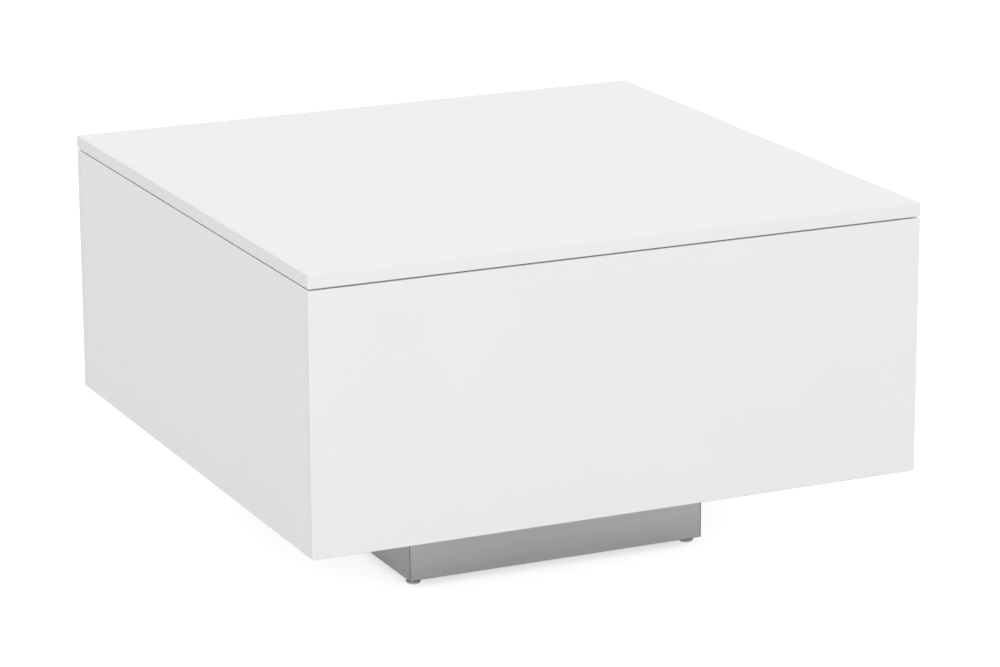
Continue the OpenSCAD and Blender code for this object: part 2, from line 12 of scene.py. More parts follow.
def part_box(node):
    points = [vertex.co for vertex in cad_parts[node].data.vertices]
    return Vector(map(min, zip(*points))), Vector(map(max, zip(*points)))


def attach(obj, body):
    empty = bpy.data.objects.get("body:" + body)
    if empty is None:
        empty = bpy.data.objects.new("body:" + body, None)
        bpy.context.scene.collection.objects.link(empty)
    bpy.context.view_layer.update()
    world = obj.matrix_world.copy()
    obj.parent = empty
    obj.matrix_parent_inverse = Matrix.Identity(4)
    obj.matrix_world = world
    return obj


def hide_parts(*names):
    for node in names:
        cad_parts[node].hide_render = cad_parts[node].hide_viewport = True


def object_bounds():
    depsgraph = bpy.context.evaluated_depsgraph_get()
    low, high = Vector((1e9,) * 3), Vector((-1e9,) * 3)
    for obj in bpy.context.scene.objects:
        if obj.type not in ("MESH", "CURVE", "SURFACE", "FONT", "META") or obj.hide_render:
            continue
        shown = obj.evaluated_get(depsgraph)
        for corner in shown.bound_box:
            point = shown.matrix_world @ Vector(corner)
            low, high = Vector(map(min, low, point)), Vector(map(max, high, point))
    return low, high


bl_info = {
    "name": "Storage coffee table",
    "version": (1, 0, 0),
    "blender": (4, 5, 0),
    "location": "3D View > Sidebar > Table",
    "description": "Builds a lacquered storage coffee table with a lift-up top on its packed frame",
    "category": "Add Mesh",
}

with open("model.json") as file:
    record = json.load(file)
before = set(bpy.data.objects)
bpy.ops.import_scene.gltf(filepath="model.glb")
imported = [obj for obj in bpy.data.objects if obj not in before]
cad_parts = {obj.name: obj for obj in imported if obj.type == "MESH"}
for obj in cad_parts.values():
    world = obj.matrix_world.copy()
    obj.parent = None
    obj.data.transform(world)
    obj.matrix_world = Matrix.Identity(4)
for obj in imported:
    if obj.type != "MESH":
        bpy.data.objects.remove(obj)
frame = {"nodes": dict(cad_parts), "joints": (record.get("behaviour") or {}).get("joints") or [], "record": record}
CAD_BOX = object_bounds()

MM = 0.001
JOINTS = {joint["name"]: joint for joint in frame["joints"]}
BODY_OF = {
    node: body for body, nodes in frame["record"]["behaviour"]["bodies"].items() for node in nodes}
SLOT_OF = {part["node"]: part["material_slot"] for part in frame["record"]["subparts"]}
SIDES = ("left", "right")
CORNERS = ("front_left", "front_right", "back_left", "back_right")
WHITE = (1, 1, 1, 1)
MERGE = 0.005 * MM       # corners of a CAD mesh that are nearer than this are one corner
SQUARE_ON = 0.999        # a face is square to an axis if its normal has more than this along it
IN_LINE = 0.001          # a face runs along an axis if its normal has less than this along it
SHARP_ANGLE = 32         # in degrees, the least turn of an edge that gets eased
FLAT_ANGLE = 0.5         # in degrees, the most turn between two CAD faces that are one flat face
FINISHES = {}            # the materials by name, which mix_finishes makes


# Settings that a user would change

class TableSizes(bpy.types.PropertyGroup):
    """Small sizes that finish the pieces"""

    board_edge: FloatProperty(
        name="Board edge", description="Radius of the boards' eased edges",
        default=1.2 * MM, min=0.3 * MM, max=3 * MM, unit="LENGTH", precision=4)
    sheet_edge: FloatProperty(
        name="Sheet edge", description="Radius of the cladding's deburred edges",
        default=0.15 * MM, min=0.05 * MM, max=0.5 * MM, unit="LENGTH", precision=4)
    plate_edge: FloatProperty(
        name="Plate edge", description="Radius of the pressed plates' edges",
        default=0.35 * MM, min=0.1 * MM, max=0.8 * MM, unit="LENGTH", precision=4)
    edge_steps: IntProperty(
        name="Edge steps", description="Faces across an eased edge", default=4, min=1, max=8)
    thread_pitch: FloatProperty(
        name="Thread pitch", description="Height of one turn of a foot's thread",
        default=1.0 * MM, min=0.5 * MM, max=2 * MM, unit="LENGTH", precision=4)
    thread_depth: FloatProperty(
        name="Thread depth", description="Depth of a foot's thread",
        default=0.5 * MM, min=0.2 * MM, max=1 * MM, unit="LENGTH", precision=4)


class TableColours(bpy.types.PropertyGroup):
    """Colours of the table's finishes"""

    lacquer: FloatVectorProperty(
        name="Lacquer", description="Boards of the cabinet and the lid",
        default=(0.91, 0.91, 0.908), min=0, max=1, subtype="COLOR")
    # Painted highlight: the upright outer edges get a brighter lacquer colour, which stands for the light their
    # rounding catches
    lacquer_painted_highlight: FloatVectorProperty(
        name="Lacquer edge", description="Upright eased edges, buffed a little brighter",
        default=(0.96, 0.96, 0.958), min=0, max=1, subtype="COLOR")
    edge_band: FloatVectorProperty(
        name="Edge band", description="Banded ends of the front and back panels and of the lid",
        default=(0.88, 0.88, 0.877), min=0, max=1, subtype="COLOR")
    plinth_steel: FloatVectorProperty(
        name="Plinth steel", description="Brushed face of the plinth's front and back sheets",
        default=(0.6, 0.593, 0.579), min=0, max=1, subtype="COLOR")
    # Painted light: the same steel as the front and back sheets, painted a little lighter to stand for more light
    # on the plinth's sides
    plinth_side_steel_painted_lighter: FloatVectorProperty(
        name="Plinth side steel", description="Brushed face of the plinth's side sheets",
        default=(0.624, 0.617, 0.603), min=0, max=1, subtype="COLOR")
    # Partly painted shade: the sheets' own cut ends, painted dark to stand for the shade inside the seams at the
    # plinth's corners
    core_and_seam_shade: FloatVectorProperty(
        name="Sheet core", description="Cut ends of the plinth's cladding",
        default=(0.13, 0.122, 0.112), min=0, max=1, subtype="COLOR")
    zinc: FloatVectorProperty(
        name="Zinc", description="Plated brackets and fasteners",
        default=(0.62, 0.63, 0.65), min=0, max=1, subtype="COLOR")
    bright_steel: FloatVectorProperty(
        name="Bright steel", description="Pins and strut rods",
        default=(0.74, 0.74, 0.75), min=0, max=1, subtype="COLOR")
    black_paint: FloatVectorProperty(
        name="Black paint", description="Arms and strut tubes",
        default=(0.03, 0.031, 0.034), min=0, max=1, subtype="COLOR")
    foot_plastic: FloatVectorProperty(
        name="Foot plastic", description="Pads of the feet",
        default=(0.78, 0.78, 0.77), min=0, max=1, subtype="COLOR")
    white_plastic: FloatVectorProperty(
        name="White plastic", description="Covers of the cam locks, and washers at the pivots",
        default=(0.78, 0.78, 0.77), min=0, max=1, subtype="COLOR")
    black_plastic: FloatVectorProperty(
        name="Black plastic", description="Guides and pistons of the struts",
        default=(0.025, 0.025, 0.026), min=0, max=1, subtype="COLOR")
    fibreboard: FloatVectorProperty(
        name="Fibreboard", description="Pale fibres of the raw boards, blocks and dowels",
        default=(0.56, 0.42, 0.27), min=0, max=1, subtype="COLOR")
    fibreboard_dark: FloatVectorProperty(
        name="Fibreboard dark", description="Dark fibres of the raw boards, blocks and dowels",
        default=(0.30, 0.20, 0.12), min=0, max=1, subtype="COLOR")
    fibreboard_speck: FloatVectorProperty(
        name="Fibreboard specks", description="Specks in the raw boards, blocks and dowels",
        default=(0.16, 0.10, 0.055), min=0, max=1, subtype="COLOR")
    clear_rubber: FloatVectorProperty(
        name="Clear rubber", description="Bumpers on the cabinet's top edge",
        default=(0.70, 0.73, 0.74), min=0, max=1, subtype="COLOR")
    rubber_bloom: FloatVectorProperty(
        name="Rubber bloom", description="Paler bloom on the bumpers",
        default=(0.82, 0.84, 0.85), min=0, max=1, subtype="COLOR")


class StudioSettings(bpy.types.PropertyGroup):
    """Camera and light of the studio"""

    camera_place: FloatVectorProperty(
        name="Camera place", description="Where the camera stands",
        default=(-1.7712, -3.8905, 1.4024), subtype="TRANSLATION", unit="LENGTH")
    camera_turn: FloatVectorProperty(
        name="Camera turn", description="Heading, tilt down and roll",
        default=(radians(24.72), radians(15.542), radians(-0.25)), subtype="EULER")
    camera_lens: FloatProperty(
        name="Lens", description="Focal length on a 36 mm wide sensor",
        default=143.54 * MM, min=20 * MM, max=400 * MM, unit="LENGTH")
    sky_light: FloatProperty(
        name="Sky light", description="Strength of the even light from all sides",
        default=0.83, min=0, max=2)
    top_light: FloatProperty(
        name="Top light", description="Power of the lamp overhead",
        default=1, min=0, max=200, unit="POWER")
    front_light: FloatProperty(
        name="Front light", description="Power of the lamp in front",
        default=47, min=0, max=200, unit="POWER")


# Materials

class Signal:
    """A node's output. Arithmetic on it adds Math nodes."""

    def __init__(self, finish, socket):
        self.finish = finish
        self.socket = socket

    def maths(self, operation, first, second):
        return self.finish.add("Math", {"operation": operation}, {0: first, 1: second})

    def __add__(self, other):
        return self.maths("ADD", self, other)

    __radd__ = __add__

    def __mul__(self, other):
        return self.maths("MULTIPLY", self, other)

    __rmul__ = __mul__

    def __sub__(self, other):
        return self.maths("SUBTRACT", self, other)

    def __rsub__(self, other):
        return self.maths("SUBTRACT", other, self)


class Finish:
    """The nodes of one material, or of the sky."""

    def __init__(self, owner):
        owner.use_nodes = True
        self.owner = owner
        self.tree = owner.node_tree
        self.tree.nodes.clear()

    def add(self, kind, settings, sockets, output=0):
        """Adds a node: its settings first, then the values or links of its sockets.

        The node that ends a material has no output, so nothing comes back for it.
        """
        node = self.tree.nodes.new("ShaderNode" + kind)
        for name, value in settings.items():
            setattr(node, name, value)
        for name, value in sockets.items():
            if isinstance(value, Signal):
                self.tree.links.new(value.socket, node.inputs[name])
            else:
                node.inputs[name].default_value = value
        return Signal(self, node.outputs[output]) if node.outputs else None

    def noise(self, per_metre, detail=2.0, roughness=0.5, offset=(0, 0, 0)):
        """Noise on the piece's own coordinates, with so many cells a metre along X, Y and Z."""
        place = self.add("TexCoord", {}, {}, "Object")
        spread = self.add("Mapping", {}, {"Vector": place, "Scale": per_metre, "Location": offset})
        return self.add("TexNoise", {}, {
            "Vector": spread, "Scale": 1.0, "Detail": detail, "Roughness": roughness})

    def cells(self, per_metre):
        """Flat random grey cells, so many a metre."""
        place = self.add("TexCoord", {}, {}, "Object")
        return self.add("TexVoronoi", {}, {"Vector": place, "Scale": per_metre}, "Color")

    def range(self, signal, low, high):
        """The signal's middle stretch, from low to high, widened to 0 to 1."""
        return self.add("MapRange", {"clamp": True}, {0: signal, 1: low, 2: high, 3: 0.0, 4: 1.0})

    def blend(self, factor, first, second):
        """Mixes two colours, which are a Mix node's inputs 6 and 7 and its output 2."""
        return self.add("Mix", {"data_type": "RGBA"}, {
            0: factor, 6: opaque(first), 7: opaque(second)}, 2)

    def bump(self, height, depth, strength=1.0):
        """A bump, with its depth in metres."""
        return self.add("Bump", {}, {"Strength": strength, "Distance": depth, "Height": height})

    def surface(self, colour, sockets):
        """Ends the material in a Principled shader."""
        return self.end(self.add("BsdfPrincipled", {}, {"Base Color": opaque(colour), **sockets}))

    def end(self, shader, kind="Material"):
        self.add("Output" + kind, {}, {"Surface": shader})
        return self.owner

    def to_camera(self):
        """1 where the camera sees it, and 0 for its light on other things."""
        return self.add("LightPath", {}, {}, "Is Camera Ray")

    def in_mirrors(self):
        """1 where it is seen in metal or gloss, or through glass."""
        return self.add("Math", {"operation": "MAXIMUM"}, {
            0: self.add("LightPath", {}, {}, "Is Glossy Ray"),
            1: self.add("LightPath", {}, {}, "Is Transmission Ray")})


def opaque(colour):
    return colour if isinstance(colour, Signal) else (*colour[:3], 1.0)


def shade(colour, share):
    return tuple(share * c for c in colour[:3])


def lacquer_finish(name, colour):
    """Sprayed and polished gloss lacquer, with faint orange peel and clouding."""
    finish = Finish(bpy.data.materials.new(name))
    cloud = finish.range(finish.noise((7, 7, 7), 3), 0.3, 0.7)
    peel = finish.noise((260, 260, 260), 1.5)
    wave = finish.noise((38, 38, 38), 1.0, offset=(3, 1, 2))
    return finish.surface(
        finish.blend(cloud, shade(colour, 0.985), colour),
        {"Roughness": 0.2 + cloud * 0.06, "Coat Weight": 0.2, "Coat Roughness": 0.06,
         "Normal": finish.bump(peel * 0.6 + wave * 0.4, 0.03 * MM)})


def brushed_finish(name, colour, roughness):
    """Steel sheet brushed along its length, with the odd deeper line."""
    finish = Finish(bpy.data.materials.new(name))
    fine = finish.noise((9, 9, 2200), 2.0, 0.6)
    wide = finish.noise((2.5, 2.5, 340), 3.0, 0.6, offset=(5, 2, 1))
    cloud = finish.noise((4, 4, 13), 2.0)
    scratch = finish.range(finish.noise((2.5, 2.5, 1500), 1.0, 0.5, offset=(1, 7, 3)), 0.66, 0.74)
    grain = fine * 0.45 + wide * 0.55
    tone = finish.range(grain * 0.75 + cloud * 0.25, 0.35, 0.65)
    return finish.surface(
        finish.blend(tone, shade(colour, 0.92), shade(colour, 1.06)),
        {"Metallic": 1.0, "Roughness": roughness + grain * 0.14 - scratch * 0.06,
         "Normal": finish.bump(grain - scratch * 0.3, 0.02 * MM, 0.45)})


def core_and_seam_shade_finish(colour):
    """Sawn edge of the cladding's core, with a fine tooth and darker spots, painted dark overall to stand for the
    shade inside the corner seams.
    """
    finish = Finish(bpy.data.materials.new("core_and_seam_shade"))
    tooth = finish.noise((700, 700, 260), 3.0)
    return finish.surface(
        finish.blend(tooth, shade(colour, 0.7), shade(colour, 1.3)),
        {"Roughness": 0.6 + tooth * 0.2, "Normal": finish.bump(tooth, 0.05 * MM)})


def plated_finish(colour):
    """Zinc plate on pressed steel, with a soft spangle."""
    finish = Finish(bpy.data.materials.new("zinc_plate"))
    spangle = finish.add("RGBToBW", {}, {0: finish.cells(130)})
    cloud = finish.noise((22, 22, 22), 3.0)
    tone = spangle * 0.35 + cloud * 0.65
    return finish.surface(
        finish.blend(tone, shade(colour, 0.82), shade(colour, 1.08)),
        {"Metallic": 1.0, "Roughness": 0.28 + tone * 0.2,
         "Normal": finish.bump(finish.noise((420, 420, 420), 2.0), 0.03 * MM, 0.5)})


def bright_finish(colour):
    """Ground and polished steel of the pins and rods."""
    finish = Finish(bpy.data.materials.new("bright_steel"))
    lines = finish.noise((900, 900, 900), 1.0)
    return finish.surface(
        finish.blend(lines, shade(colour, 0.94), shade(colour, 1.04)),
        {"Metallic": 1.0, "Roughness": 0.1 + lines * 0.12,
         "Normal": finish.bump(lines, 0.008 * MM, 0.5)})


def paint_finish(colour):
    """Black powder coat with its fine texture, rubbed a little greyer in places."""
    finish = Finish(bpy.data.materials.new("dark_steel"))
    grit = finish.noise((1100, 1100, 1100), 2.0)
    rub = finish.range(finish.noise((30, 30, 30), 4.0), 0.55, 0.75)
    return finish.surface(
        finish.blend(rub, colour, shade(colour, 1.5)),
        {"Roughness": 0.42 + grit * 0.12 - rub * 0.06, "Normal": finish.bump(grit, 0.04 * MM)})


def moulded_finish(name, colour, roughness):
    """Moulded plastic with a spark-eroded texture."""
    finish = Finish(bpy.data.materials.new(name))
    texture = finish.noise((1400, 1400, 1400), 2.0)
    cloud = finish.noise((60, 60, 60), 2.0)
    return finish.surface(
        finish.blend(cloud, shade(colour, 0.93), shade(colour, 1.05)),
        {"Roughness": roughness + texture * 0.12, "Normal": finish.bump(texture, 0.03 * MM)})


def fibreboard_finish(pale, dark, specks):
    """Raw fibreboard: a dull brown felt with darker specks."""
    finish = Finish(bpy.data.materials.new("plain_wood"))
    felt = finish.noise((500, 500, 700), 4.0, 0.65)
    cloud = finish.noise((16, 16, 30), 3.0)
    speck = finish.range(finish.noise((900, 900, 900), 1.0, offset=(2, 2, 2)), 0.64, 0.72)
    body = finish.blend(felt * 0.6 + cloud * 0.4, dark, pale)
    return finish.surface(
        finish.blend(speck * 0.6, body, specks),
        {"Roughness": 0.72 + felt * 0.15, "Normal": finish.bump(felt, 0.2 * MM)})


def clear_rubber_finish(colour, bloomed):
    """Soft clear rubber of the stick-on bumpers."""
    finish = Finish(bpy.data.materials.new("clear_rubber"))
    bloom = finish.noise((300, 300, 300), 2.0)
    return finish.surface(
        finish.blend(bloom, colour, bloomed),
        {"Roughness": 0.25 + bloom * 0.15, "Transmission Weight": 0.55, "IOR": 1.45})


def mix_finishes(colours):
    """Makes one material for each slot of the record, and four more: a painted highlight for the upright edges,
    the banded ends, side sheets painted lighter as painted light, and cut ends painted dark as the corner seams'
    painted shade.
    """
    FINISHES.update({
        "white_lacquer": lacquer_finish("white_lacquer", colours.lacquer),
        "lacquer_painted_highlight": lacquer_finish("lacquer_painted_highlight", colours.lacquer_painted_highlight),
        "edge_band": lacquer_finish("edge_band", colours.edge_band),
        "plinth_steel": brushed_finish("plinth_steel", colours.plinth_steel, 0.29),
        "plinth_side_steel_painted_lighter": brushed_finish(
            "plinth_side_steel_painted_lighter", colours.plinth_side_steel_painted_lighter, 0.36),
        "core_and_seam_shade": core_and_seam_shade_finish(colours.core_and_seam_shade),
        "zinc_plate": plated_finish(colours.zinc),
        "bright_steel": bright_finish(colours.bright_steel),
        "dark_steel": paint_finish(colours.black_paint),
        "plain_wood": fibreboard_finish(
            colours.fibreboard, colours.fibreboard_dark, colours.fibreboard_speck),
        "black_plastic": moulded_finish("black_plastic", colours.black_plastic, 0.4),
        "white_plastic": moulded_finish("white_plastic", colours.white_plastic, 0.38),
        "grey_plastic": moulded_finish("grey_plastic", colours.foot_plastic, 0.4),
        "clear_rubber": clear_rubber_finish(colours.clear_rubber, colours.rubber_bloom),
    })


# Modelling steps

def alone(piece):
    """Makes one object the only selected and active one."""
    bpy.ops.object.select_all(action="DESELECT")
    piece.select_set(True)
    bpy.context.view_layer.objects.active = piece


def pick_faces(piece, wanted):
    """Goes into edit mode with only the wanted faces selected."""
    alone(piece)
    bpy.ops.object.mode_set(mode="EDIT")
    bpy.ops.mesh.select_mode(type="FACE")
    bpy.ops.mesh.select_all(action="DESELECT")
    mesh = bmesh.from_edit_mesh(piece.data)
    for face in mesh.faces:
        if wanted(face):
            face.select_set(True)
    bmesh.update_edit_mesh(piece.data)


def settle(piece):
    """Puts a piece's place, turn and scale into its mesh."""
    alone(piece)
    bpy.ops.object.transform_apply(location=True, rotation=True, scale=True)
    return piece


def added(name):
    """Names the primitive that has just been added."""
    piece = bpy.context.active_object
    piece.name = name
    piece.data.name = name
    return piece


def block(name, low, high):
    """A box between two corners."""
    bpy.ops.object.select_all(action="DESELECT")
    bpy.ops.mesh.primitive_cube_add(size=1, location=(low + high) / 2, scale=high - low)
    return settle(added(name))


def turned(name, outline, sides=48):
    """A round solid round Z, of so many sides.

    A disc at the outline's first [radius, height] is extruded and resized to each next one.
    """
    radius, height = outline[0]
    bpy.ops.object.select_all(action="DESELECT")
    bpy.ops.mesh.primitive_circle_add(
        vertices=sides, radius=radius, fill_type="NGON", location=(0, 0, height))
    piece = settle(added(name))
    bpy.ops.object.mode_set(mode="EDIT")
    bpy.ops.mesh.select_all(action="SELECT")
    for next_radius, next_height in outline[1:]:
        bpy.ops.mesh.extrude_region_move(
            TRANSFORM_OT_translate={"value": (0, 0, next_height - height)})
        share = next_radius / radius
        bpy.ops.transform.resize(value=(share, share, 1), center_override=(0, 0, next_height))
        radius, height = next_radius, next_height
    bpy.ops.mesh.select_all(action="SELECT")
    bpy.ops.mesh.normals_make_consistent(inside=False)
    bpy.ops.object.mode_set(mode="OBJECT")
    return piece


def use_modifier(piece, kind, **settings):
    """Adds a modifier and applies it."""
    alone(piece)
    modifier = piece.modifiers.new(kind.lower(), kind)
    for name, value in settings.items():
        setattr(modifier, name, value)
    bpy.ops.object.modifier_apply(modifier=modifier.name)


def evenly_lit(piece):
    """Keeps the large faces beside rounded edges flat in the light."""
    use_modifier(piece, "WEIGHTED_NORMAL", mode="FACE_AREA", weight=50, keep_sharp=True)
    return piece


def eased(piece, radius, steps):
    """Rounds the sharp edges."""
    alone(piece)
    bpy.ops.object.shade_smooth()
    use_modifier(piece, "BEVEL", width=radius, segments=steps, limit_method="ANGLE",
                 angle_limit=radians(SHARP_ANGLE), miter_outer="MITER_ARC", use_clamp_overlap=True)
    return evenly_lit(piece)


def smooth(piece, angle=35):
    """Shades a piece smooth across the edges that turn by less than so many degrees."""
    alone(piece)
    bpy.ops.object.shade_smooth_by_angle(angle=radians(angle))
    return piece


def placed(piece, matrix):
    """Puts a piece that was made at the origin in its place."""
    piece.matrix_world = matrix
    return settle(piece)


def quarter(steps):
    """Angles from 0 up to a right angle, for a rounded corner of an outline."""
    return [pi / 2 * i / steps for i in range(steps + 1)]


def put_away(*pieces):
    """Takes away pieces that were made only to be copied, or to cut with."""
    for piece in pieces:
        bpy.data.objects.remove(piece)


def twin(piece, name):
    """A copy of a piece with its own mesh."""
    other = piece.copy()
    other.data = piece.data.copy()
    other.name = name
    bpy.context.scene.collection.objects.link(other)
    return other


def joined(name, pieces):
    """Makes one object of several."""
    alone(pieces[0])
    for piece in pieces:
        piece.select_set(True)
    if len(pieces) > 1:
        bpy.ops.object.join()
    return added(name)


def repeated(name, piece, places):
    """Copies of one piece at all its places, as one object."""
    copies = [placed(twin(piece, name), place) for place in places]
    put_away(piece)
    return joined(name, copies)


def cut(piece, cutter):
    """Takes the cutter's shape out of a piece."""
    use_modifier(piece, "BOOLEAN", object=cutter, operation="DIFFERENCE", solver="EXACT")
    put_away(cutter)
    return piece


def copied_node(node, name):
    """A merged copy of a CAD node, with its flat faces whole again."""
    source = frame["nodes"][node]
    piece = source.copy()
    piece.data = source.data.copy()
    piece.name = name
    for key in list(piece.keys()):
        del piece[key]
    piece.parent = None
    bpy.context.scene.collection.objects.link(piece)
    piece.hide_render = False
    alone(piece)
    if piece.data.has_custom_normals:
        bpy.ops.mesh.customdata_custom_splitnormals_clear()
    bpy.ops.object.mode_set(mode="EDIT")
    bpy.ops.mesh.select_all(action="SELECT")
    bpy.ops.mesh.remove_doubles(threshold=MERGE)
    bpy.ops.mesh.dissolve_limited(angle_limit=radians(FLAT_ANGLE))
    bpy.ops.object.mode_set(mode="OBJECT")
    return piece


def solids(node):
    """The box of each separate solid in a CAD node, in order of their lowest corners."""
    mesh = bmesh.new()
    mesh.from_mesh(frame["nodes"][node].data)
    bmesh.ops.remove_doubles(mesh, verts=mesh.verts, dist=MERGE)
    left = set(mesh.verts)
    found = []
    while left:
        group, edge = set(), {left.pop()}
        while edge:
            group |= edge
            edge = {e.other_vert(v) for v in edge for e in v.link_edges} - group
        left -= group
        points = [v.co for v in group]
        found.append((Vector(map(min, *points)), Vector(map(max, *points))))
    mesh.free()
    return sorted(found, key=lambda box: tuple(round(c, 5) for c in box[0]))


def coat(piece, finish):
    """Gives a piece one finish all over."""
    piece.data.materials.clear()
    piece.data.materials.append(FINISHES[finish])


def dress(piece, node, finish=None):
    """Gives a piece its material, body and slot, and lets it stand for its CAD node."""
    slot = SLOT_OF[node]
    coat(piece, finish or slot)
    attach(piece, BODY_OF[node])
    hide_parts(node)
    return piece


def also_finished(piece, finish, wanted):
    """Gives a dressed piece another finish on the wanted faces."""
    piece.data.materials.append(FINISHES[finish])
    for face in piece.data.polygons:
        if wanted(face):
            face.material_index = len(piece.data.materials) - 1


def pointing(place, direction):
    """The matrix that stands a piece made along Z at a place, along a direction."""
    turn = Vector(direction).to_track_quat("Z", "Y").to_matrix()
    return Matrix.Translation(place) @ turn.to_4x4()


def standing(low, high):
    """The matrix that stands a piece made from the floor up on the bottom of a box."""
    middle = (low + high) / 2
    return Matrix.Translation((middle.x, middle.y, low.z))


# Pieces

class TABLE_OT_boards(bpy.types.Operator):
    """Adds the lacquered boards of the cabinet and the lid"""
    bl_idname = "table.boards"
    bl_label = "Lacquered boards"

    BOARDS = ("front_panel", "back_panel", "left_panel", "right_panel", "base_board", "lid_board")
    BANDED = ("front_panel", "back_panel", "lid_board")

    def on_outer_edge(self, face):
        """True on an upright eased edge between two outer faces of the table, not at a joint: the faces that get
        the painted highlight.
        """
        edge = bpy.context.scene.table_sizes.board_edge
        flat = max(map(abs, face.normal)) > SQUARE_ON
        return not flat and abs(face.normal.z) < IN_LINE and all(
            abs(turn) < IN_LINE or abs(place) > outer - edge
            for turn, place, outer in zip(face.normal.xy, face.center.xy, CAD_BOX[1]))

    def execute(self, context):
        sizes = context.scene.table_sizes
        for node in self.BOARDS:
            board = block(node + "_lacquered", *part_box(node))
            dress(eased(board, sizes.board_edge, sizes.edge_steps), node)
            # The upright outer edges get the painted highlight, a brighter lacquer than the faces
            also_finished(board, "lacquer_painted_highlight", self.on_outer_edge)
            if node in self.BANDED:
                also_finished(board, "edge_band", lambda face: abs(face.normal.x) > SQUARE_ON)
        return {"FINISHED"}


class TABLE_OT_cladding(bpy.types.Operator):
    """Adds the plinth's brushed sheets, the side sheets painted a little lighter as painted light, with their cut
    ends at its corners painted dark as the painted shade of the seams
    """
    bl_idname = "table.cladding"
    bl_label = "Plinth cladding"

    EDGE_STEPS = 2

    def execute(self, context):
        sizes = context.scene.table_sizes
        for side in ("front", "back", *SIDES):
            node = f"plinth_{side}_cladding"
            sheet = block(node + "_sheet", *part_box(node))
            eased(sheet, sizes.sheet_edge, self.EDGE_STEPS)
            if side in SIDES:
                # The side sheets are painted a little lighter, as painted light, and their cut ends dark, as the
                # painted shade of the corner seams
                dress(sheet, node, "plinth_side_steel_painted_lighter")
                also_finished(sheet, "core_and_seam_shade", lambda face: abs(face.normal.y) > SQUARE_ON)
            else:
                dress(sheet, node)
        return {"FINISHED"}


class TABLE_OT_feet(bpy.types.Operator):
    """Adds the levelling feet, cupped pads on threaded studs"""
    bl_idname = "table.feet"
    bl_label = "Levelling feet"

    FLAT_RADIUS = 5 * MM
    EDGE = 0.25 * MM
    WALL = 0.8 * MM
    FLOOR = 1.2 * MM
    BOSS_RADIUS = 4.4 * MM
    BOWL_STEPS = 12
    PAD_SIDES = 64
    STUD_SIDES = 32
    STUD_SMOOTH = 50
    PLAIN_TURNS = 3          # the height left for the stud's plain ends, in turns of its thread
    FLANK = 0.4              # the height of a thread's flank, as a share of a turn

    def pad_outline(self, radius, height):
        """Up a bowl to the rim, down into the cup and up the boss in its middle."""
        swell, rim = radius - self.FLAT_RADIUS, height - self.EDGE
        bowl = [
            (self.FLAT_RADIUS + swell * sin(turn), rim * (1 - cos(turn)))
            for turn in quarter(self.BOWL_STEPS)]
        inside = [(r - self.WALL, z) for r, z in reversed(bowl) if z > self.FLOOR]
        return [
            *bowl, (radius - self.EDGE, height), (radius - self.WALL + self.EDGE, height), *inside,
            (inside[-1][0] - self.EDGE, self.FLOOR), (self.BOSS_RADIUS, self.FLOOR),
            (self.BOSS_RADIUS, rim), (self.BOSS_RADIUS - self.EDGE, height)]

    def stud_outline(self, radius, height, sizes):
        """A plain seat in the pad, then the thread, then a chamfered end."""
        pitch, depth = sizes.thread_pitch, sizes.thread_depth
        root = radius - depth
        outline = [(root, 0)]
        for i in range(int((height - self.PLAIN_TURNS * pitch) / pitch)):
            turn = (i + 1) * pitch
            outline += [(root, turn), (radius, turn + self.FLANK * pitch),
                        (radius, turn + (1 - self.FLANK) * pitch)]
        return outline + [(root, height - pitch), (root - depth, height)]

    def execute(self, context):
        sizes = context.scene.table_sizes
        low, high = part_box("foot_pad_front_left")
        outline = self.pad_outline((high.x - low.x) / 2, high.z - low.z)
        pad = smooth(turned("pad", outline, self.PAD_SIDES))
        low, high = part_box("foot_stud_front_left")
        outline = self.stud_outline((high.x - low.x) / 2, high.z - low.z, sizes)
        stud = smooth(turned("stud", outline, self.STUD_SIDES), self.STUD_SMOOTH)
        for corner in CORNERS:
            for kind, finished, model in (("pad", "glide", pad), ("stud", "threaded", stud)):
                node = f"foot_{kind}_{corner}"
                piece = twin(model, f"{node}_{finished}")
                dress(placed(piece, standing(*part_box(node))), node)
        put_away(pad, stud)
        return {"FINISHED"}


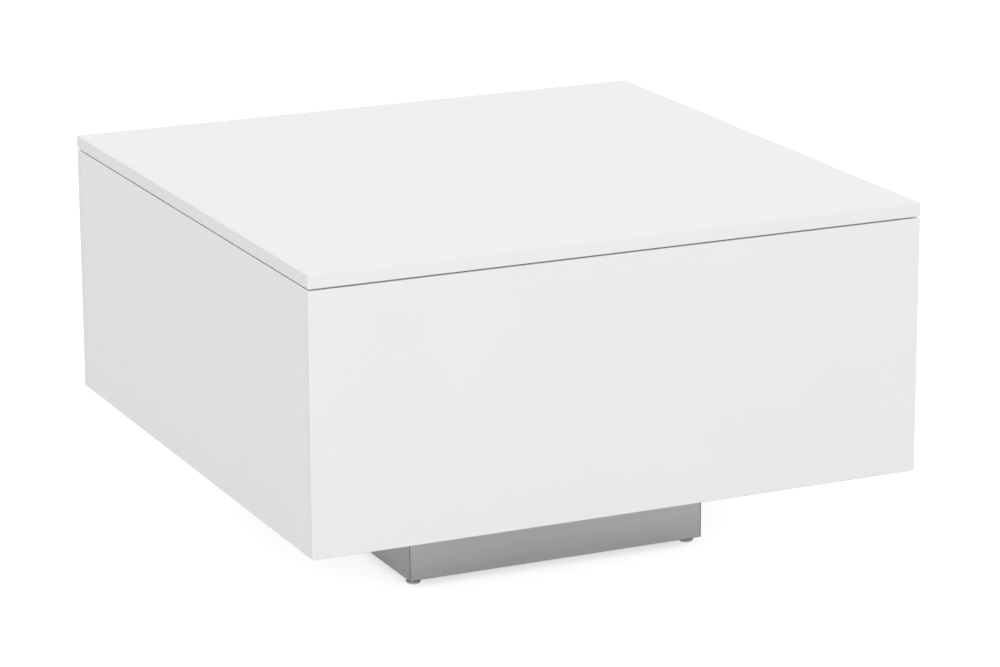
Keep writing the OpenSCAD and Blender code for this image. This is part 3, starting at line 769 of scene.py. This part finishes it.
class TABLE_OT_pressings(bpy.types.Operator):
    """Adds the brackets, arms, pins, washers and strut rods, with broken edges"""
    bl_idname = "table.pressings"
    bl_label = "Lift mechanism"

    PIN_EDGE = 0.5 * MM
    WASHER_EDGE = 0.15 * MM
    SINK_RADIUS = 4 * MM
    SINK_BORE = 2.45 * MM
    SINK_OVER = 0.3 * MM     # how far the cutter stands out of the plate on both sides
    BACK_REACH = 0.01 * MM   # a corner this near a plate's back plane is on it
    BRACKET_STEPS = 3
    BRACKET_SMOOTH = 33
    EDGE_STEPS = 2

    def countersink(self, thickness):
        """The cutter of a screw's hole: a cone in from the plate's face, then a bore."""
        return turned("countersink", [
            (self.SINK_RADIUS + self.SINK_OVER, -self.SINK_OVER),
            (self.SINK_BORE, self.SINK_RADIUS - self.SINK_BORE),
            (self.SINK_BORE, thickness + self.SINK_OVER)])

    def base_bracket(self, node, sizes):
        """The back of the CAD plate, drawn out to its thickness, eased, and sunk for its screws."""
        low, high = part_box(node)
        back, front = (high.x, low.x) if low.x > 0 else (low.x, high.x)
        plate = copied_node(node, node + "_finished")
        pick_faces(plate, lambda face: any(
            abs(corner.co.x - back) > self.BACK_REACH for corner in face.verts))
        bpy.ops.mesh.delete(type="FACE")
        bpy.ops.mesh.select_all(action="SELECT")
        bpy.ops.mesh.extrude_region_move(TRANSFORM_OT_translate={"value": (front - back, 0, 0)})
        bpy.ops.mesh.select_all(action="SELECT")
        bpy.ops.mesh.normals_make_consistent(inside=False)
        bpy.ops.object.mode_set(mode="OBJECT")
        eased(plate, sizes.plate_edge, self.BRACKET_STEPS)
        middles = [(low + high) / 2 for low, high in solids("base_bracket_screws")]
        into_panel = [
            pointing((front, middle.y, middle.z), (back - front, 0, 0))
            for middle in middles if middle.x * back > 0]
        cut(plate, repeated("countersinks", self.countersink(abs(front - back)), into_panel))
        alone(plate)
        bpy.ops.mesh.customdata_custom_splitnormals_clear()
        dress(evenly_lit(smooth(plate, self.BRACKET_SMOOTH)), node)

    def execute(self, context):
        sizes = context.scene.table_sizes
        edges = {}
        for side in SIDES:
            self.base_bracket(side + "_base_bracket", sizes)
            for part in ("lid_bracket", "front_arm", "rear_arm"):
                edges[f"{side}_{part}"] = sizes.plate_edge
            for part in ("strut_lever_pin", "strut_rod"):
                edges[f"{side}_{part}"] = self.PIN_EDGE
        for node in ("base_pivot_pins", "lid_pivot_pins", "strut_anchor_pins", "arm_stop_pins"):
            edges[node] = self.PIN_EDGE
        for node in ("base_pivot_washers", "lid_pivot_washers"):
            edges[node] = self.WASHER_EDGE
        for node, edge in edges.items():
            dress(eased(copied_node(node, node + "_finished"), edge, self.EDGE_STEPS), node)
        return {"FINISHED"}


class TABLE_OT_struts(bpy.types.Operator):
    """Adds the gas struts' tubes, with a formed floor, a crimp and a rolled lip"""
    bl_idname = "table.struts"
    bl_label = "Gas struts"

    EYE_RADIUS = 7 * MM
    EYE_WIDTH = 8 * MM
    EYE_BORE = 3.05 * MM
    NECK = 2 * MM
    NECK_RADIUS = 3 * MM
    NECK_FILLET = 0.3 * MM
    WALL = 1 * MM
    FLOOR = 2 * MM
    FLOOR_ROUND = 2 * MM
    FLOOR_STEPS = 5
    CRIMP_DEPTH = 0.5 * MM
    CRIMP_LENGTH = 2.4 * MM
    CRIMP_SETBACK = 9 * MM
    CRIMP_STEPS = 8
    LIP = 0.7 * MM
    LIP_IN, LIP_DOWN = 0.3, 0.6    # a middle point of the lip's round, as shares of the lip
    BORE_EDGE = 0.2 * MM
    END_CLEARANCE = 4 * MM
    TUBE_SIDES = 64
    TUBE_SMOOTH = 40
    EYE_SMOOTH = 30
    TRIM_EDGE = 0.15 * MM
    TRIM_STEPS = 2

    def tube_outline(self, radius, bore, end):
        """Up the outside from the neck, over the rolled lip and down the bore."""
        start = self.EYE_RADIUS + self.NECK
        crimp = end - self.CRIMP_SETBACK
        round_floor = [
            (radius - self.FLOOR_ROUND * (1 - sin(turn)),
             start + self.FLOOR_ROUND * (1 - cos(turn)))
            for turn in quarter(self.FLOOR_STEPS)]
        round_crimp = [
            (radius - self.CRIMP_DEPTH * (1 - cos(2 * pi * share)) / 2,
             crimp + self.CRIMP_LENGTH * (share - 0.5))
            for share in (i / self.CRIMP_STEPS for i in range(self.CRIMP_STEPS + 1))]
        return [
            (self.NECK_RADIUS, self.EYE_RADIUS - self.WALL),
            (self.NECK_RADIUS, start - self.NECK_FILLET),
            (self.NECK_RADIUS + self.NECK_FILLET, start),
            *round_floor, *round_crimp, (radius, end - 2 * self.LIP),
            (radius - self.LIP_IN * self.LIP, end - self.LIP_DOWN * self.LIP),
            (radius - self.LIP, end), (bore + self.BORE_EDGE, end),
            (bore, end - self.BORE_EDGE), (bore, start + self.FLOOR)]

    def execute(self, context):
        low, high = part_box("left_strut_tube")
        radius = (high.x - low.x) / 2
        foot, head = self.ends("left")
        end = (head - foot).length - self.EYE_RADIUS - self.END_CLEARANCE
        outline = self.tube_outline(radius, radius - self.WALL, end)
        body = smooth(turned("body", outline, self.TUBE_SIDES), self.TUBE_SMOOTH)
        eye = self.eye(context.scene.table_sizes.plate_edge)
        for side in SIDES:
            node = side + "_strut_tube"
            foot, head = self.ends(side)
            tube = joined(node + "_painted", [
                placed(twin(body, node + "_body"), pointing(foot, head - foot)),
                placed(twin(eye, node + "_eye"), pointing(foot, (1, 0, 0)))])
            dress(tube, node)
            for part in ("guide", "piston"):
                node = f"{side}_strut_{part}"
                trim = copied_node(node, node + "_turned")
                dress(eased(trim, self.TRIM_EDGE, self.TRIM_STEPS), node)
        put_away(body, eye)
        return {"FINISHED"}

    def ends(self, side):
        """The middles of a strut's two eyes."""
        return [Vector(JOINTS[f"{side}_strut_{part}_swing"]["pos_m"]) for part in ("tube", "rod")]

    def eye(self, edge):
        """A round eye along Z, with its bore and broken edges."""
        half = self.EYE_WIDTH / 2
        eye = turned("eye", [
            (self.EYE_BORE, -half), (self.EYE_RADIUS - edge, -half), (self.EYE_RADIUS, edge - half),
            (self.EYE_RADIUS, half - edge), (self.EYE_RADIUS - edge, half), (self.EYE_BORE, half)])
        # The two end faces open into the bore
        pick_faces(eye, lambda face: len(face.verts) > 4)
        bpy.ops.mesh.bridge_edge_loops()
        bpy.ops.mesh.select_all(action="SELECT")
        bpy.ops.mesh.normals_make_consistent(inside=False)
        bpy.ops.object.mode_set(mode="OBJECT")
        return smooth(eye, self.EYE_SMOOTH)


class TABLE_OT_screws(bpy.types.Operator):
    """Adds the wood screws, with cross recesses in their heads"""
    bl_idname = "table.screws"
    bl_label = "Screws"

    SHANK_RADIUS = 2 * MM
    POINT_LENGTH = 4 * MM
    POINT_RADIUS = 0.3 * MM
    HEAD_RADIUS = 4 * MM
    HEAD_EDGE = 0.1 * MM
    PAN_HEIGHT = 2.4 * MM
    PAN_ROUND = 1.6 * MM
    PAN_RISE = 0.8           # the height of a pan head's round, as a share of the head's
    PAN_STEPS = 6
    SUNK_HEIGHT = 1.9 * MM
    SUNK_EDGE = 0.15 * MM
    SLOT_LENGTH = 4.2 * MM
    SLOT_WIDTH = 0.9 * MM
    SLOT_DEPTH = 1.3 * MM
    SLOT_TAPER = 0.6         # a slot's size at its bottom, as a share of its size at the top
    SLOT_OVER = 1 * MM       # how far the cutter stands out of the head
    SCREW_SIDES = 32

    def recess(self):
        """A tapered cross that is cut into a screw's head, up from its flat top at Z = 0."""
        bar = block(
            "bar", Vector((-self.SLOT_LENGTH / 2, -self.SLOT_WIDTH / 2, -self.SLOT_OVER)),
            Vector((self.SLOT_LENGTH / 2, self.SLOT_WIDTH / 2, self.SLOT_DEPTH)))
        pick_faces(bar, lambda face: face.normal.z > SQUARE_ON)
        bpy.ops.transform.resize(
            value=(self.SLOT_TAPER, self.SLOT_TAPER, 1), center_override=(0, 0, self.SLOT_DEPTH))
        bpy.ops.object.mode_set(mode="OBJECT")
        across = placed(twin(bar, "bar_across"), Matrix.Rotation(pi / 2, 4, "Z"))
        use_modifier(bar, "BOOLEAN", object=across, operation="UNION", solver="EXACT")
        put_away(across)
        return bar

    def screw(self, length, sunk):
        """A screw along Z from its head at the bottom to its point, as long as its solid."""
        if sunk:
            rim = self.SHANK_RADIUS + self.SUNK_HEIGHT - self.SUNK_EDGE
            head = [(rim - self.SUNK_EDGE, 0), (rim, self.SUNK_EDGE),
                    (self.SHANK_RADIUS, self.SUNK_HEIGHT)]
        else:
            head = [
                (self.HEAD_RADIUS - self.PAN_ROUND * (1 - sin(turn)),
                 self.PAN_HEIGHT * self.PAN_RISE * (1 - cos(turn)))
                for turn in quarter(self.PAN_STEPS)]
            head += [(self.HEAD_RADIUS, self.PAN_HEIGHT - self.HEAD_EDGE),
                     (self.HEAD_RADIUS - self.HEAD_EDGE, self.PAN_HEIGHT),
                     (self.SHANK_RADIUS, self.PAN_HEIGHT)]
        shank = [(self.SHANK_RADIUS, length - self.POINT_LENGTH), (self.POINT_RADIUS, length)]
        return smooth(cut(turned("screw", head + shank, self.SCREW_SIDES), self.recess()))

    def driven(self, low, high):
        """The place of a screw in its box, with its point up or away from the table's middle."""
        middle, size = (low + high) / 2, high - low
        if size.z == max(size):
            direction = Vector((0, 0, 1))
        elif size.x > size.y:
            direction = Vector((1 if middle.x > 0 else -1, 0, 0))
        else:
            direction = Vector((0, 1 if middle.y > 0 else -1, 0))
        return pointing(middle - direction * max(size) / 2, direction)

    def row(self, node, sunk=False):
        """One modelled screw, copied onto each solid of a node."""
        boxes = solids(node)
        low, high = boxes[0]
        screw = self.screw(max(high - low), sunk)
        dress(repeated(node + "_driven", screw, [self.driven(*box) for box in boxes]), node)

    def execute(self, context):
        self.row("base_bracket_screws", sunk=True)
        self.row("lid_bracket_screws")
        self.row("plinth_fixing_screws")
        self.row("plinth_block_screws")
        return {"FINISHED"}


class TABLE_OT_caps(bpy.types.Operator):
    """Adds the cam covers and the lid's clear bumpers"""
    bl_idname = "table.caps"
    bl_label = "Covers and bumpers"

    CAP_STEPS = 5
    COVER_ROUND = 0.6 * MM
    DIMPLE_RADIUS = 1.2 * MM
    DIMPLE_TAPER = 0.6       # the dimple's radius at its bottom, as a share of that at its rim
    DIMPLE_DEPTH = 0.25 * MM
    COVER_SMOOTH = 40
    BUMPER_ROUND = 0.9       # the round of a bumper's shoulder, as a share of its height
    BUMPER_SIDES = 40
    BUMPER_SMOOTH = 60

    def dome(self, radius, height, edge):
        """A disc with a rounded shoulder, flat on top."""
        return [(radius, 0), *[
            (radius - edge * (1 - cos(turn)), height - edge * (1 - sin(turn)))
            for turn in quarter(self.CAP_STEPS)]]

    def add_covers(self):
        """One cover, copied to face down under the base board and inwards on the side panels."""
        boxes = solids("cam_covers")
        places = []
        for low, high in boxes:
            middle, size = (low + high) / 2, high - low
            if size.z == min(size):
                direction = Vector((0, 0, -1))
            else:
                direction = Vector((1 if middle.x < 0 else -1, 0, 0))
            places.append(pointing(middle - direction * min(size) / 2, direction))
        low, high = boxes[0]
        height = min(high - low)
        cover = turned("cover", [
            *self.dome(max(high - low) / 2, height, self.COVER_ROUND), (self.DIMPLE_RADIUS, height),
            (self.DIMPLE_RADIUS * self.DIMPLE_TAPER, height - self.DIMPLE_DEPTH)])
        covers = repeated("cam_covers_pressed_in", smooth(cover, self.COVER_SMOOTH), places)
        dress(covers, "cam_covers")

    def add_bumpers(self):
        """One bumper, copied to each place on the cabinet's top edge."""
        boxes = solids("lid_bumpers")
        low, high = boxes[0]
        radius, height = (high.x - low.x) / 2, high.z - low.z
        bumper = turned(
            "bumper", self.dome(radius, height, height * self.BUMPER_ROUND), self.BUMPER_SIDES)
        bumpers = repeated(
            "lid_bumpers_domed", smooth(bumper, self.BUMPER_SMOOTH),
            [standing(*box) for box in boxes])
        dress(bumpers, "lid_bumpers")

    def execute(self, context):
        self.add_covers()
        self.add_bumpers()
        return {"FINISHED"}


class TABLE_OT_hidden_parts(bpy.types.Operator):
    """Finishes the CAD pieces that keep their own shape"""
    bl_idname = "table.hidden_parts"
    bl_label = "Boards, dowels and fittings inside"

    def execute(self, context):
        for node, piece in frame["nodes"].items():
            if not piece.hide_render:
                coat(piece, SLOT_OF[node])
        return {"FINISHED"}


class TABLE_OT_studio(bpy.types.Operator):
    """Adds the floor, the lights and the camera"""
    bl_idname = "table.studio"
    bl_label = "Studio"

    FLOOR_SIZE = 40.0
    FLOOR_GREY = 0.8
    CAMERA_GLOW = 0.66
    MIRRORED_GLOW = 0.1
    LAMP_TARGET = (0, 0, 0.2)
    TOP_LAMP_PLACE = (0.3, 0.2, 3.2)
    TOP_LAMP_SIZE = 3.0
    FRONT_LAMP_PLACE = (-1.5, -4.85, 2.35)
    FRONT_LAMP_SIZE = 3.3
    SENSOR = 36.0            # the camera's sensor width, in millimetres

    def execute(self, context):
        studio = context.scene.table_studio
        self.add_floor()
        self.add_sky(studio.sky_light)
        self.add_lamp("top_lamp", self.TOP_LAMP_PLACE, self.TOP_LAMP_SIZE, studio.top_light)
        self.add_lamp("front_lamp", self.FRONT_LAMP_PLACE, self.FRONT_LAMP_SIZE, studio.front_light)
        self.add_camera(studio)
        return {"FINISHED"}

    def add_floor(self):
        bpy.ops.object.select_all(action="DESELECT")
        bpy.ops.mesh.primitive_plane_add(size=self.FLOOR_SIZE, location=(0, 0, 0))
        floor = settle(added("studio_floor"))
        finish = Finish(bpy.data.materials.new("studio_floor"))
        lit = finish.add("BsdfDiffuse", {}, {"Color": opaque([self.FLOOR_GREY] * 3)})
        shown = lit
        for mask, strength in (
                (finish.in_mirrors(), self.MIRRORED_GLOW), (finish.to_camera(), self.CAMERA_GLOW)):
            glow = finish.add("Emission", {}, {"Color": WHITE, "Strength": strength})
            lifted = finish.add("AddShader", {}, {0: lit, 1: glow})
            shown = finish.add("MixShader", {}, {0: mask, 1: shown, 2: lifted})
        floor.data.materials.append(finish.end(shown))

    def add_sky(self, strength):
        world = bpy.data.worlds.new("studio_sky")
        bpy.context.scene.world = world
        sky = Finish(world)
        dim = sky.add("Background", {}, {"Color": WHITE, "Strength": strength})
        white = sky.add("Background", {}, {"Color": WHITE, "Strength": 1.0})
        shown = sky.add("Math", {"operation": "MAXIMUM"}, {0: sky.to_camera(), 1: sky.in_mirrors()})
        sky.end(sky.add("MixShader", {}, {0: shown, 1: dim, 2: white}), "World")

    def add_lamp(self, name, place, size, power):
        """A round lamp that isn't mirrored in the gloss, where it would burn the lid out."""
        lamp = bpy.data.lights.new(name, "AREA")
        lamp.energy, lamp.shape, lamp.size = power, "DISK", size
        holder = bpy.data.objects.new(name, lamp)
        holder.location = place
        holder.visible_glossy = False
        towards = Vector(self.LAMP_TARGET) - Vector(place)
        holder.rotation_euler = towards.to_track_quat("-Z", "Y").to_euler()
        bpy.context.scene.collection.objects.link(holder)

    def add_camera(self, studio):
        heading, tilt, roll = studio.camera_turn
        ahead = Vector((sin(heading) * cos(tilt), cos(heading) * cos(tilt), -sin(tilt)))
        right = Vector((cos(heading), -sin(heading), 0))
        up = right.cross(ahead)
        right, up = cos(roll) * right + sin(roll) * up, -sin(roll) * right + cos(roll) * up
        camera = bpy.data.cameras.new("photo_camera")
        camera.sensor_width = self.SENSOR
        camera.lens = studio.camera_lens / MM
        holder = bpy.data.objects.new("photo_camera", camera)
        bpy.context.scene.collection.objects.link(holder)
        turn = Matrix((right, up, -ahead)).transposed().to_4x4()
        holder.matrix_world = Matrix.Translation(studio.camera_place) @ turn
        bpy.context.scene.camera = holder
        bpy.context.scene.view_settings.view_transform = "Standard"


class TABLE_PT_sidebar(bpy.types.Panel):
    """Lists the table's steps and settings"""
    bl_idname = "TABLE_PT_sidebar"
    bl_label = "Storage coffee table"
    bl_space_type = "VIEW_3D"
    bl_region_type = "UI"
    bl_category = "Table"

    def draw(self, context):
        for step in STEPS:
            self.layout.operator(step.bl_idname)
        for group in SETTINGS:
            settings = getattr(context.scene, group)
            box = self.layout.box()
            for name in settings.__annotations__:
                box.prop(settings, name)


STEPS = (
    TABLE_OT_boards, TABLE_OT_cladding, TABLE_OT_feet, TABLE_OT_pressings, TABLE_OT_struts,
    TABLE_OT_screws, TABLE_OT_caps, TABLE_OT_hidden_parts, TABLE_OT_studio)
SETTINGS = {
    "table_sizes": TableSizes, "table_colours": TableColours, "table_studio": StudioSettings}
CLASSES = (*SETTINGS.values(), *STEPS, TABLE_PT_sidebar)


def register():
    for kind in CLASSES:
        bpy.utils.register_class(kind)
    for name, kind in SETTINGS.items():
        setattr(bpy.types.Scene, name, PointerProperty(type=kind))


def unregister():
    for name in SETTINGS:
        delattr(bpy.types.Scene, name)
    for kind in reversed(CLASSES):
        bpy.utils.unregister_class(kind)


def main():
    register()
    mix_finishes(bpy.context.scene.table_colours)
    bpy.ops.table.boards()
    bpy.ops.table.cladding()
    bpy.ops.table.feet()
    bpy.ops.table.pressings()
    bpy.ops.table.struts()
    bpy.ops.table.screws()
    bpy.ops.table.caps()
    bpy.ops.table.hidden_parts()
    bpy.ops.table.studio()


if __name__ == "__main__":
    main()
